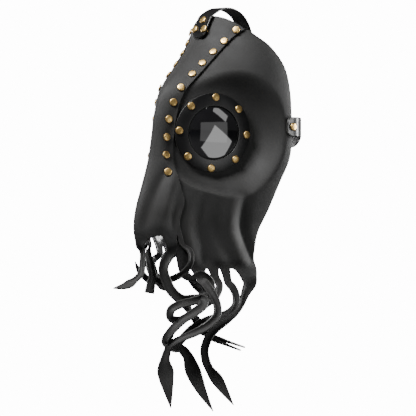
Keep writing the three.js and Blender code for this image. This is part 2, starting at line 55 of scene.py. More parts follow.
# ---------------------------------------------------------------- the moulded form (mm)
# height, ridge depth, rear side, rear depth, roundness at ridge and side, rear direction
FORM = np.array([
    [-150, -130, 49, -23, 12, 24, 84],
    [-127, -138, 52.5, -19.5, 12, 26, 84],
    [-104, -145.5, 53, -19.5, 12, 26, 86],
    [-84, -143.5, 59, -13, 11, 28, 90],
    [-59, -134.5, 67, -6, 10, 30, 96],
    [-34, -126, 74, 2, 9, 32, 100],
    [-11, -121.5, 75.5, 4.5, 8, 34, 102],
    [12, -117.5, 75.5, 4, 8, 36, 102],
    [38, -107, 74.5, 2.5, 11, 38, 100],
    [63, -80.5, 69, -1, 15, 36, 95],
    [85, -60, 57.5, -13, 13, 25, 80],
    [100, -52.5, 42, -27.5, 15, 12, 55],
    [114, -44.5, 34, -27, 15, 10, 50],
], float)
# height and reach of the seam rivets round the form
SEAM = np.array([
    [-142, 50], [-118, 44], [-110, 40], [-102, 36.5], [-93, 38], [-84, 40], [-74, 39.5], [-64, 33],
    [-55, 27.5], [-45, 22.2], [-28, 17.3], [-10, 16], [8, 15.8], [25, 16.8], [40, 18.9], [53, 20.2],
    [64, 21.9], [76, 25], [87, 30], [98, 38], [106, 44.5],
], float)
SEAM_RIVETS = [98, 86.5, 75.5, 64, 52.8, 39, 24, 7, -11, -28.7, -45.7]
SEAM_MARGIN = 8
SEAM_HIDDEN = 6
TOP_MIDDLE, TOP_CORNER = 114, 99
EYE_CENTRE = np.array([35.6, -68.7, -6.5])
EYE_TURN, EYE_TILT = math.radians(66), math.radians(-3)
EYE_ACROSS_R, EYE_UP_R = 115.0, 160.0
EYE_FLAT, EYE_BLEND = 40.0, 60.0
EYE_OPENING, EYE_RING, EYE_RIVET_CIRCLE, EYE_RIVETS = 27.2, 39.6, 35.6, 8
EYE_RIVET_TURN = math.radians(-3)

EYE_N = np.array([math.sin(EYE_TURN) * math.cos(EYE_TILT), -math.cos(EYE_TURN) * math.cos(EYE_TILT),
                  math.sin(EYE_TILT)])
EYE_T = np.array([math.cos(EYE_TURN), math.sin(EYE_TURN), 0.0])
EYE_B = np.cross(EYE_N, EYE_T)
EYE_B = EYE_B if EYE_B[2] > 0 else -EYE_B


def smooth01(x, low=0.0, high=1.0):
    t = np.clip((x - low) / (high - low), 0, 1)
    return t * t * (3 - 2 * t)


def column(table, k, height):
    """Smooth value of a table's column at heights, by cubic Hermite."""
    z = table[:, 0]
    v = table[:, k]
    height = np.asarray(height, float)
    i = np.clip(np.searchsorted(z, height) - 1, 0, len(z) - 2)
    low, high = np.maximum(np.arange(len(z)) - 1, 0), np.minimum(np.arange(len(z)) + 1, len(z) - 1)
    slope = (v[high] - v[low]) / (z[high] - z[low])
    h = z[i + 1] - z[i]
    t = np.clip((height - z[i]) / h, -0.3, 1.3)
    return ((2 * t**3 - 3 * t**2 + 1) * v[i] + (t**3 - 2 * t**2 + t) * h * slope[i]
            + (-2 * t**3 + 3 * t**2) * v[i + 1] + (t**3 - t**2) * h * slope[i + 1])


def seam_reach(height):
    return column(SEAM, 1, height)


def section_curves(height, samples=49):
    """Cross-section points and arc lengths for an array of heights."""
    ridge, side, rear, soft, full, turn = [column(FORM, k, height) for k in range(1, 7)]
    angle = np.radians(turn)
    zero = np.zeros_like(ridge)
    p = np.stack([np.stack([zero, ridge], -1), np.stack([soft, ridge], -1),
                  np.stack([side - full * np.cos(angle), rear - full * np.sin(angle)], -1),
                  np.stack([side, rear], -1)], -2)
    t = np.linspace(0, 1, samples)
    basis = np.stack([(1 - t)**3, 3 * (1 - t)**2 * t, 3 * (1 - t) * t**2, t**3], -1)
    curve = np.einsum("tk,nkc->ntc", basis, p)
    step = np.linalg.norm(np.diff(curve, axis=1), axis=2)
    return curve, np.concatenate([np.zeros((len(curve), 1)), np.cumsum(step, axis=1)], axis=1)


def rear_reach(height):
    flat = np.atleast_1d(np.asarray(height, float)).ravel()
    return section_curves(flat)[1][:, -1].reshape(np.shape(height))


def on_eye(across, up, height=0.0):
    across, up, height = np.broadcast_arrays(
        np.asarray(across, float), np.asarray(up, float), np.asarray(height, float))
    fall = across**2 / (2 * EYE_ACROSS_R) + up**2 / (2 * EYE_UP_R)
    normal = (EYE_N + (across / EYE_ACROSS_R)[..., None] * EYE_T + (up / EYE_UP_R)[..., None] * EYE_B)
    normal = normal / np.linalg.norm(normal, axis=-1, keepdims=True)
    return (EYE_CENTRE + across[..., None] * EYE_T + up[..., None] * EYE_B - fall[..., None] * EYE_N
            + height[..., None] * normal)


def form_point(reach, height):
    reach, height = np.broadcast_arrays(np.asarray(reach, float), np.asarray(height, float))
    shape = reach.shape
    r, z = np.abs(reach).ravel(), height.ravel()
    curve, length = section_curves(z)
    last = length[:, -1]
    s = np.minimum(r, last)
    i = np.clip((length < s[:, None]).sum(1) - 1, 0, length.shape[1] - 2)
    n = np.arange(len(r))
    span = length[n, i + 1] - length[n, i]
    f = ((s - length[n, i]) / span)[:, None]
    flat = curve[n, i] * (1 - f) + curve[n, i + 1] * f
    end = curve[:, -1] - curve[:, -2]
    end /= np.linalg.norm(end, axis=1, keepdims=True)
    flat = flat + end * np.maximum(r - last, 0)[:, None]
    point = np.concatenate([flat, z[:, None]], 1)
    away = point - EYE_CENTRE
    across, up = away @ EYE_T, away @ EYE_B
    radius = np.hypot(across, up) + 1e-9
    soft = EYE_BLEND + 15 * smooth01(across / radius, -0.2, 0.7)
    near = smooth01((soft - radius) / (soft - EYE_FLAT)) * smooth01(r, 5, 22)
    point = point * (1 - near[:, None]) + on_eye(across, up) * near[:, None]
    point[:, 0] *= np.where(reach.ravel() < 0, -1, 1)
    return point.reshape(shape + (3,))


def form_normal(reach, height, step=1.2):
    along = form_point(reach + step, height) - form_point(reach - step, height)
    rise = form_point(reach, height + step) - form_point(reach, height - step)
    normal = np.cross(along, rise)
    return normal / np.linalg.norm(normal, axis=-1, keepdims=True)


def on_form(reach, height, offset):
    reach, height = np.broadcast_arrays(np.asarray(reach, float), np.asarray(height, float))
    offset = np.broadcast_to(np.asarray(offset, float), reach.shape)
    return form_point(reach, height) + form_normal(reach, height) * offset[..., None]


# ---------------------------------------------------------------- materials
def node(tree, kind, **settings):
    made = tree.nodes.new(kind)
    for key, value in settings.items():
        if key in made.inputs:
            made.inputs[key].default_value = value
        else:
            setattr(made, key, value)
    return made


def new_material(name):
    material = bpy.data.materials.new(name)
    material.use_nodes = True
    return material, material.node_tree, material.node_tree.nodes["Principled BSDF"]


def ramp(tree, source, low, high, colours):
    made = node(tree, "ShaderNodeValToRGB")
    tree.links.new(source, made.inputs["Fac"])
    made.color_ramp.elements[0].position = low
    made.color_ramp.elements[1].position = high
    made.color_ramp.elements[0].color = (*colours[0], 1)
    made.color_ramp.elements[1].color = (*colours[1], 1)
    return made.outputs["Color"]


def leather_material(name, dark, light, rough, grain=1500.0, grain_depth=0.00006):
    """Coated leather: pebbled grain, uneven tone and sheen."""
    material, tree, shader = new_material(name)
    where = node(tree, "ShaderNodeTexCoord").outputs["Object"]
    broad = node(tree, "ShaderNodeTexNoise", Scale=38.0, Detail=4.0, Roughness=0.55)
    pores = node(tree, "ShaderNodeTexVoronoi", Scale=grain, feature="SMOOTH_F1", Smoothness=0.6)
    fine = node(tree, "ShaderNodeTexNoise", Scale=grain * 0.45, Detail=3.0, Roughness=0.6)
    for texture in (broad, pores, fine):
        tree.links.new(where, texture.inputs["Vector"])
    tree.links.new(ramp(tree, broad.outputs["Fac"], 0.3, 0.75, (dark, light)), shader.inputs["Base Color"])
    tree.links.new(
        ramp(tree, broad.outputs["Fac"], 0.3, 0.7, ((rough - 0.05,) * 3, (rough + 0.08,) * 3)),
        shader.inputs["Roughness"])
    first = node(tree, "ShaderNodeBump", Strength=0.5, Distance=grain_depth)
    tree.links.new(pores.outputs["Distance"], first.inputs["Height"])
    second = node(tree, "ShaderNodeBump", Strength=0.35, Distance=grain_depth * 2)
    tree.links.new(fine.outputs["Fac"], second.inputs["Height"])
    tree.links.new(first.outputs["Normal"], second.inputs["Normal"])
    tree.links.new(second.outputs["Normal"], shader.inputs["Normal"])
    shader.inputs["Specular IOR Level"].default_value = 0.5
    return material


def metal_material(name, bright, tarnish, rough, scale):
    """Antique brass: bright worn faces, dark tarnish in patches."""
    material, tree, shader = new_material(name)
    where = node(tree, "ShaderNodeTexCoord").outputs["Object"]
    patches = node(tree, "ShaderNodeTexNoise", Scale=scale, Detail=5.0, Roughness=0.65)
    tree.links.new(where, patches.inputs["Vector"])
    tree.links.new(ramp(tree, patches.outputs["Fac"], 0.36, 0.6, (tarnish, bright)),
                   shader.inputs["Base Color"])
    tree.links.new(
        ramp(tree, patches.outputs["Fac"], 0.35, 0.7, ((rough + 0.22,) * 3, (rough,) * 3)),
        shader.inputs["Roughness"])
    bump = node(tree, "ShaderNodeBump", Strength=0.25, Distance=0.00006)
    tree.links.new(patches.outputs["Fac"], bump.inputs["Height"])
    tree.links.new(bump.outputs["Normal"], shader.inputs["Normal"])
    shader.inputs["Metallic"].default_value = 1.0
    return material


def lens_material():
    """Smoked acrylic, polished, with faint haze."""
    material, tree, shader = new_material("smoked_acrylic")
    where = node(tree, "ShaderNodeTexCoord").outputs["Object"]
    haze = node(tree, "ShaderNodeTexNoise", Scale=60.0, Detail=3.0)
    tree.links.new(where, haze.inputs["Vector"])
    tree.links.new(ramp(tree, haze.outputs["Fac"], 0.3, 0.8, ((0.03,) * 3, (0.07,) * 3)),
                   shader.inputs["Roughness"])
    tree.links.new(ramp(tree, haze.outputs["Fac"], 0.3, 0.8, ((0.004, 0.004, 0.005), (0.008, 0.008, 0.009))),
                   shader.inputs["Base Color"])
    shader.inputs["IOR"].default_value = 2.2  # shinier than plain acrylic, whose index is 1.49
    return material


PANEL_LEATHER = leather_material("panel_leather", (0.002, 0.002, 0.0022), (0.0045, 0.0045, 0.0048), 0.27)
# lighter cut edges: partly the raw edge's own tone, partly a painted highlight where the rounded edges catch
# light
EDGE_TONE_AND_PAINTED_HIGHLIGHT = leather_material("cut_edge_tone_and_painted_highlight", (0.02, 0.02, 0.02), (0.05, 0.049, 0.047), 0.38, 900.0)
FLESH = leather_material("flesh_side", (0.006, 0.006, 0.006), (0.012, 0.0115, 0.011), 0.7, 2600.0, 0.0001)
STRAP_LEATHER = leather_material(
    "strap_leather", (0.0025, 0.0025, 0.0027), (0.006, 0.006, 0.0064), 0.32, 1300.0)
RIVET_BRASS = metal_material("rivet_brass", (0.86, 0.6, 0.22), (0.36, 0.22, 0.08), 0.26, 420.0)
BUCKLE_BRASS = metal_material("buckle_brass", (0.5, 0.38, 0.22), (0.16, 0.11, 0.06), 0.3, 260.0)
LENS = lens_material()


# ---------------------------------------------------------------- mesh helpers
def make_object(name, vertices, faces, materials, smooth=True):
    mesh = bpy.data.meshes.new(name)
    mesh.from_pydata([tuple(v) for v in vertices], [], faces)
    mesh.validate()
    made = bpy.data.objects.new(name, mesh)
    bpy.context.scene.collection.objects.link(made)
    for material in materials:
        mesh.materials.append(material)
    if smooth:
        mesh.shade_smooth()
    return made


def apply_modifiers(piece):
    depsgraph = bpy.context.evaluated_depsgraph_get()
    mesh = bpy.data.meshes.new_from_object(piece.evaluated_get(depsgraph))
    piece.modifiers.clear()
    piece.data = mesh
    mesh.shade_smooth()
    return piece


def weld(patches, tolerance=1e-3):
    """Joins grids of points, in mm, into one mesh, sharing the points they have in common."""
    index, vertices, faces = {}, [], []
    for grid in patches:
        rows, columns = grid.shape[:2]
        ids = np.empty((rows, columns), int)
        for r in range(rows):
            for c in range(columns):
                key = tuple(np.round(grid[r, c] / tolerance).astype(int))
                if key not in index:
                    index[key] = len(vertices)
                    vertices.append(grid[r, c])
                ids[r, c] = index[key]
        for r in range(rows - 1):
            for c in range(columns - 1):
                face = (ids[r, c], ids[r, c + 1], ids[r + 1, c + 1], ids[r + 1, c])
                distinct = tuple(dict.fromkeys(int(i) for i in face))
                if len(distinct) > 2:
                    faces.append(distinct)
    return np.array(vertices), faces


def thicken(piece, thickness, levels=1):
    """Gives a sheet its thickness, with soft cut edges in their own lighter material, which is partly the
    raw edge's tone and partly a painted edge highlight.
    """
    solid = piece.modifiers.new("thickness", "SOLIDIFY")
    solid.thickness = thickness * MM
    solid.offset = 0
    solid.use_rim = True
    solid.material_offset = 2
    solid.material_offset_rim = 1
    fine = piece.modifiers.new("fine", "SUBSURF")
    fine.levels = levels
    fine.render_levels = levels
    return apply_modifiers(piece)


def finish_piece(piece, body, nodes):
    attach(piece, body)
    if nodes:
        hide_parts(*nodes)
    return piece


# ---------------------------------------------------------------- ribbons
def spline(points, samples, ease=1.0):
    """Centripetal Catmull-Rom through points; samples are even, or closer together at the start."""
    p = np.array(points, float)
    p = np.vstack([2 * p[0] - p[1], p, 2 * p[-1] - p[-2]])
    knots = np.concatenate([[0], np.cumsum(np.linalg.norm(np.diff(p, axis=0), axis=1) ** 0.5)])
    out = []
    for k in range(1, len(p) - 2):
        t0, t1, t2, t3 = knots[k - 1:k + 3]
        t = np.linspace(t1, t2, 24, endpoint=False)[:, None]
        a1 = (t1 - t) / (t1 - t0) * p[k - 1] + (t - t0) / (t1 - t0) * p[k]
        a2 = (t2 - t) / (t2 - t1) * p[k] + (t - t1) / (t2 - t1) * p[k + 1]
        a3 = (t3 - t) / (t3 - t2) * p[k + 1] + (t - t2) / (t3 - t2) * p[k + 2]
        b1 = (t2 - t) / (t2 - t0) * a1 + (t - t0) / (t2 - t0) * a2
        b2 = (t3 - t) / (t3 - t1) * a2 + (t - t1) / (t3 - t1) * a3
        out.append((t2 - t) / (t2 - t1) * b1 + (t - t1) / (t2 - t1) * b2)
    dense = np.vstack(out + [p[-2:-1]])
    length = np.concatenate([[0], np.cumsum(np.linalg.norm(np.diff(dense, axis=0), axis=1))])
    s = length[-1] * np.linspace(0, 1, samples) ** ease
    return np.stack([np.interp(s, length, dense[:, k]) for k in range(3)], 1), s


def facing(azimuth, elevation=0.0):
    """Direction towards an azimuth round the mask, 0 in front and 90 at the wearer's left."""
    a, e = math.radians(azimuth), math.radians(elevation)
    return np.array([math.sin(a) * math.cos(e), -math.cos(a) * math.cos(e), math.sin(e)])


ARCH = 21.0
RIBBON_HALF = 4.6


def ribbon_grid(reach, hem, offset, route, faces, half=RIBBON_HALF, curl=0.75, leaf=1.8, leaf_from=0.78,
                tip=True, rows=120, arch=ARCH, free_sides=(False, False)):
    """One ribbon end. Its first row is the hem between two arches; it narrows, curls and ends in a leaf."""
    share = np.linspace(-1, 1, len(reach))
    middle, span = reach.mean(), (reach[-1] - reach[0]) / 2
    height = float(np.mean(hem(reach)))
    root = on_form(middle, height, offset)
    line, s = spline([root, on_form(middle, height - 5, offset)] + list(map(np.array, route)), rows, 1.4)
    tangent = np.gradient(line, s, axis=0)
    tangent /= np.linalg.norm(tangent, axis=1, keepdims=True)
    t = s / s[-1]
    keys = np.array([form_normal(middle, height)] + [facing(*f) for f in faces])
    where = np.concatenate([[0, 0.06], np.linspace(0.06, 1, len(keys))[1:]])
    keys = np.concatenate([keys[:1], keys])
    out = np.stack([np.interp(t, where, keys[:, k]) for k in range(3)], 1)
    side = np.cross(out, tangent)
    beside = on_form(middle + 1, height, offset) - on_form(middle - 1, height, offset)
    side *= np.sign(side[0] @ beside)
    for r in range(1, rows):
        if side[r] @ side[r - 1] < 0:
            side[r:] *= -1
    side /= np.linalg.norm(side, axis=1, keepdims=True)
    out = np.cross(tangent, side)
    out *= np.sign(out[0] @ keys[0])
    grid = np.empty((rows, len(share), 3))
    for r in range(rows):
        v = np.clip((t[r] - leaf_from) / (1 - leaf_from), 0, 1)
        if tip:
            wide = half * (1 + (leaf - 1) * smooth01(v, 0, 0.3) - 0.12 * math.sin(math.pi * min(1, v * 2)))
            wide *= max(0.03, min(1, (1 - v) / 0.66)) ** 0.9
        else:
            wide = half * (1 + 0.2 * v)
        u = min(s[r] / arch, 1)
        round_arch = 1 - math.sqrt(1 - (1 - u) ** 2)
        slow = 1 - smooth01(s[r], 0, 1.7 * arch)
        wide = np.where(share < 0, wide + (span - wide) * (slow if free_sides[0] else round_arch),
                        wide + (span - wide) * (slow if free_sides[1] else round_arch))
        theta = curl * smooth01(s[r], 4, 34) * (1 - 0.7 * smooth01(v, 0, 0.4)) + 0.14
        bend = share * theta
        free = line[r] + np.outer(np.sin(bend) * wide / theta, side[r]) \
            + np.outer((1 - np.cos(bend)) * wide / theta, out[r])
        if u < 1:
            held = on_form(middle + share * wide, hem(reach) - s[r], offset)
            free = held + (free - held) * smooth01(u, 0.15, 1)
        grid[r] = free
    return grid


# ---------------------------------------------------------------- panels
def relief(reach, height, side):
    """Soft folds pressed into the leather, as heights in mm."""
    low = smooth01(-height, 45, 100)
    if side:
        fold = 3.0 * np.exp(-((reach - 101 + 0.12 * (height + 90)) / 9) ** 2) * low
        fold = fold - 3.6 * np.exp(-((reach - 115 + 0.1 * (height + 90)) / 6.5) ** 2) * low
        fold = fold + 2.0 * np.exp(-((reach - 84) / 10) ** 2 - ((height + 136) / 14) ** 2)
        fold = fold - 1.6 * np.exp(-((reach - 70) / 7) ** 2) * low
        return fold + 1.2 * np.exp(-((reach - 56) / 6) ** 2) * low
    away = np.abs(reach)
    beside_nose = smooth01(-height, 40, 60) * (1 - smooth01(-height, 78, 100))
    fold = 2.0 * np.exp(-((away - 31) / 6) ** 2) * beside_nose
    fold = fold - 2.2 * np.exp(-((away - 17 - 0.12 * (height + 60)) / 5) ** 2) * smooth01(-height, 30, 60)
    fold = fold + 1.6 * np.exp(-((away - 27) / 8) ** 2 - ((height + 103) / 9) ** 2)
    return fold - 1.5 * np.exp(-((away - 42) / 5) ** 2) * smooth01(-height, 70, 95)


def rivet_dents(reach, height, places, depth=0.35, radius=5.2):
    dent = np.zeros(np.broadcast(reach, height).shape)
    for place_reach, place_height in places:
        away = ((reach - place_reach) ** 2 + (height - place_height) ** 2) / radius ** 2
        dent = dent - depth * np.exp(-away * away)
    return dent


def top_edge(reach):
    corner = seam_reach(TOP_CORNER) + SEAM_MARGIN
    return TOP_MIDDLE - (TOP_MIDDLE - TOP_CORNER) * np.minimum(1, np.abs(reach) / corner) ** 2


CENTRE_ARCH = -109.5
SIDE_ARCH = -143.0
FAR_ARCH = -120.0
LEG_COLUMNS = 12
# where the legs of each hem meet, measured round the form
CENTRE_LEGS = [-49, -44.5, -27, 27, 44.5, 49]
SIDE_LEGS = [38, 50, 70, 84, 97, 129]
FAR_LEGS = [50, 66, 84, 102, 127]


def leg_columns(legs):
    parts = [np.linspace(a, b, LEG_COLUMNS + 1) for a, b in zip(legs, legs[1:])]
    return np.concatenate([parts[0]] + [part[1:] for part in parts[1:]])


def add_ribbons(grid, columns, hem, offset, ribbons):
    patches = [grid]
    for i, spec in enumerate(ribbons):
        leg = slice(i * LEG_COLUMNS, (i + 1) * LEG_COLUMNS + 1)
        ribbon = ribbon_grid(columns[leg], hem, offset, free_sides=(i == 0, i == len(ribbons) - 1), **spec)
        ribbon[0] = grid[-1, leg]
        patches.append(ribbon)
    return weld(patches)


def centre_hem(reach):
    return np.full_like(np.asarray(reach, float), CENTRE_ARCH)


def centre_panel():
    columns = leg_columns(CENTRE_LEGS)
    shares = columns / columns[-1]
    rows = 110
    grid = np.empty((rows, len(shares), 3))
    dents = [(s * seam_reach(z), z) for z in SEAM_RIVETS for s in (1, -1)]
    for r, down in enumerate(np.linspace(0, 1, rows)):
        base = TOP_CORNER + (CENTRE_ARCH - TOP_CORNER) * down
        limit = seam_reach(base) + SEAM_MARGIN
        reach = shares * limit + (columns - shares * limit) * smooth01(down, 0.85, 1.0)
        height = top_edge(reach) + (CENTRE_ARCH - top_edge(reach)) * down
        offset = CENTRE_MID + relief(reach, height, False) * (1 - smooth01(down, 0.93, 1)) \
            + rivet_dents(reach, height, dents)
        grid[r] = on_form(reach, height, offset)
    grid[-1] = on_form(columns, CENTRE_ARCH, CENTRE_MID)
    vertices, faces = add_ribbons(grid, columns, centre_hem, CENTRE_MID, CENTRE_RIBBONS)
    piece = make_object("centre_panel_leather", vertices * MM, faces, [PANEL_LEATHER, EDGE_TONE_AND_PAINTED_HIGHLIGHT, FLESH])
    thicken(piece, LEATHER)
    finish_piece(piece, "mask", ["centre_panel"])


def side_panel(sign, legs, arch, ribbons):
    columns = leg_columns(legs)
    columns = columns * float(rear_reach(np.array([arch]))[0]) / columns[-1]
    hem = lambda reach: np.full_like(np.asarray(reach, float), arch)
    rows = 120
    grid = np.empty((rows, len(columns), 3))
    dents = [(seam_reach(z), z) for z in SEAM_RIVETS]
    shares = (columns - columns[0]) / (columns[-1] - columns[0])
    for r, down in enumerate(np.linspace(0, 1, rows)):
        height = TOP_CORNER + (arch - TOP_CORNER) * down + 0 * columns
        low, high = seam_reach(height) - SEAM_HIDDEN, rear_reach(height)
        reach = low + (high - low) * shares
        reach = reach + (columns - reach) * smooth01(down, 0.8, 1.0)
        offset = SIDE_MID + relief(reach, height, True) * (1 - smooth01(down, 0.96, 1)) \
            + rivet_dents(reach, height, dents, 0.2)
        grid[r] = on_form(reach, height, offset)
    grid[-1] = on_form(columns, arch, SIDE_MID)
    vertices, faces = add_ribbons(grid, columns, hem, SIDE_MID, ribbons)
    away = vertices - EYE_CENTRE
    across, up, deep = away @ EYE_T, away @ EYE_B, away @ EYE_N
    radius = np.hypot(across, up)
    hole = 28.9
    inside = (radius < hole) & (np.abs(deep) < 14)
    faces = [f for f in faces if not all(inside[i] for i in f)]
    kept = {i for f in faces for i in f}
    for i in np.nonzero(inside)[0]:
        if i in kept:
            scale = hole / max(radius[i], 1e-6)
            vertices[i] = on_eye(across[i] * scale, up[i] * scale, SIDE_MID)
    order = sorted(kept)
    renumber = {old: new for new, old in enumerate(order)}
    vertices = vertices[order]
    faces = [tuple(renumber[i] for i in f) for f in faces]
    if sign < 0:
        vertices = vertices * np.array([-1, 1, 1])
        faces = [tuple(reversed(f)) for f in faces]
    side = "left" if sign > 0 else "right"
    piece = make_object(f"{side}_panel_leather", vertices * MM, faces, [PANEL_LEATHER, EDGE_TONE_AND_PAINTED_HIGHLIGHT, FLESH])
    thicken(piece, LEATHER)
    finish_piece(piece, "mask", [f"{side}_side_panel"])


# ribbon ends from the wearer's right to left, then from front to rear
CENTRE_RIBBONS = [
    dict(route=[[-13, -114, -124], [-6, -118, -137], [-2, -119, -149], [-1, -122, -159], [-1, -124, -167]],
         faces=[(10,), (40,), (47,)], tip=False, half=4.2, curl=0.9, rows=80),
    dict(route=[[-18, -117, -126], [-18, -110, -139], [-16, -105, -150], [-11, -99, -158], [-3, -94, -166]],
         faces=[(-30,), (0,), (40,)], curl=0.8, leaf=1.2, rows=80),
    dict(route=[[1, -135, -123], [2, -135, -136], [4, -139, -147], [2, -148, -155], [-1, -156, -159],
                [-8, -166, -161]],
         faces=[(0,), (20, 10), (40, 40), (47, 30)], half=3.9, leaf=1.5, leaf_from=0.66, curl=0.9, rows=90),
    dict(route=[[16, -110, -123], [13, -115, -133], [12, -117, -143], [13, -114, -154], [16, -109, -165],
                [21, -100, -173], [28, -90, -173], [34, -84, -173], [39, -88, -179], [36, -98, -187],
                [29, -108, -195], [23, -116, -205], [16, -117, -215], [14, -108, -222], [16, -97, -223],
                [20, -91, -230], [24, -89, -242], [31, -84, -262], [40, -75, -285]],
         faces=[(50,), (55,), (45, 20), (30, 40), (40, 40), (40, 10), (47,), (47,)],
         half=5.4, leaf=1.6, leaf_from=0.74, rows=170),
    dict(route=[[27, -97, -120], [29, -95, -130], [27, -96, -139], [20, -99, -147], [10, -102, -152],
                [-3, -106, -155], [-12, -113, -154], [-11, -123, -149], [-9, -132, -142], [-9, -136, -135]],
         faces=[(80,), (60,), (40, -20), (30, 10), (47,)], half=3.6, leaf=1.1, curl=0.9),
]
SIDE_RIBBONS = [
    dict(route=[[29, -80, -149], [31, -72, -155], [33, -72, -163], [33, -79, -170], [30, -94, -175],
                [27, -108, -178], [23, -116, -183], [22, -116, -191], [24, -108, -193], [27, -97, -186]],
         faces=[(60,), (60,), (40, 20), (30,), (40, -30)], leaf=1.0),
    dict(route=[[33, -85, -152], [40, -83, -160], [47, -81, -170], [51, -80, -180], [52, -82, -189],
                [49, -90, -198], [41, -100, -206], [32, -110, -212], [23, -116, -218], [18, -117, -226],
                [16, -118, -235], [16, -117, -248], [18, -116, -262], [20, -114, -281]],
         faces=[(55,), (70, 10), (60, 20), (30, 35), (20, 30), (47,), (47,), (47,)], leaf=2.0, leaf_from=0.7,
         rows=160),
    dict(route=[[35, -62, -156], [36, -64, -164], [37, -70, -171], [37, -81, -177], [34, -93, -185],
                [26, -105, -196], [18, -112, -208], [15, -113, -217], [17, -107, -224]],
         faces=[(60,), (60,), (45, 30), (30, 40), (47,)], leaf=1.0, half=4.0),
    dict(route=[[37, -53, -154], [40, -49, -161], [42, -46, -169], [43, -48, -179], [41, -56, -187],
                [38, -68, -191], [34, -81, -195], [27, -91, -202], [19, -97, -212], [16, -100, -220],
                [14, -102, -227]],
         faces=[(60,), (80,), (70, 20), (40, 30), (47,), (47,)], leaf=1.1, half=4.2),
    dict(route=[[41, -29, -156], [40, -31, -165], [39, -34, -174], [39, -42, -184], [37, -54, -194],
                [34, -66, -203], [32, -74, -212], [29, -77, -224], [30, -76, -234], [33, -74, -242],
                [39, -69, -253], [46, -64, -266], [52, -58, -279]],
         faces=[(75,), (80,), (70, 20), (50, 30), (60,), (30,), (47,), (60,)],
         leaf=1.5, leaf_from=0.72, rows=150),
]
# the wearer's right side, mirrored, hangs shorter and its ends are drawn under the others
FAR_RIBBONS = [
    dict(route=[[30, -91, -132], [22, -96, -143], [13, -99, -153], [6, -97, -160], [-3, -91, -164]],
         faces=[(50,), (30,), (0,)], leaf=1.2, rows=80),
    dict(route=[[42, -68, -132], [34, -72, -142], [20, -80, -155], [5, -86, -166], [-9, -82, -178],
                [-19, -79, -193], [-21, -71, -207], [-24, -48, -215], [-30, -21, -223]],
         faces=[(60,), (50, 20), (60, 40), (80, 60), (90, 88), (90, 88)], leaf=1.2, curl=0.6),
    dict(route=[[50, -52, -134], [39, -65, -145], [23, -75, -158], [6, -80, -171], [-10, -77, -186],
                [-18, -71, -202], [-20, -58, -214], [-22, -41, -220], [-27, -24, -226]],
         faces=[(60,), (50, 20), (60, 40), (80, 60), (90, 88), (90, 88)], leaf=1.2, curl=0.6),
    dict(route=[[47, -42, -132], [30, -53, -141], [6, -65, -151], [-15, -75, -160], [-28, -78, -167],
                [-35, -80, -174], [-32, -86, -182]],
         faces=[(70,), (60, 20), (50, 50), (50, 30)], leaf=1.0, half=4.0),
]


# ---------------------------------------------------------------- turned pieces
def lathe_points(profile, segments, place):
    """Rings of a profile of (radius, height), each point put by place(across, up, height)."""
    angles = np.linspace(0, 2 * math.pi, segments, endpoint=False)
    vertices, faces = [], []
    rings = []
    for radius, height in profile:
        if radius < 1e-6:
            rings.append([len(vertices)])
            vertices.append(place(0.0, 0.0, height))
        else:
            rings.append(list(range(len(vertices), len(vertices) + segments)))
            vertices.extend(place(radius * math.cos(a), radius * math.sin(a), height) for a in angles)
    for low, high in zip(rings, rings[1:]):
        for i in range(segments):
            j = (i + 1) % segments
            if len(low) == 1:
                faces.append((low[0], high[i], high[j]))
            elif len(high) == 1:
                faces.append((low[i], high[0], low[j]))
            else:
                faces.append((low[i], high[i], high[j], low[j]))
    return vertices, faces


def rounded(points, radius=0.35, steps=3):
    """Rounds the corners of a closed or open profile given as (r, h, round?) rows."""
    out = []
    for i, (r, h, soft) in enumerate(points):
        if not soft:
            out.append((r, h))
            continue
        p, a, b = np.array([r, h]), np.array(points[i - 1][:2]), np.array(points[(i + 1) % len(points)][:2])
        u, v = (a - p) / np.linalg.norm(a - p), (b - p) / np.linalg.norm(b - p)
        for t in np.linspace(0, 1, steps + 1):
            out.append(tuple(p + u * radius * (1 - t) ** 2 + v * radius * t ** 2))
    return out


def mirror(vertices, faces):
    return [np.array([-v[0], v[1], v[2]]) for v in vertices], [tuple(reversed(f)) for f in faces]


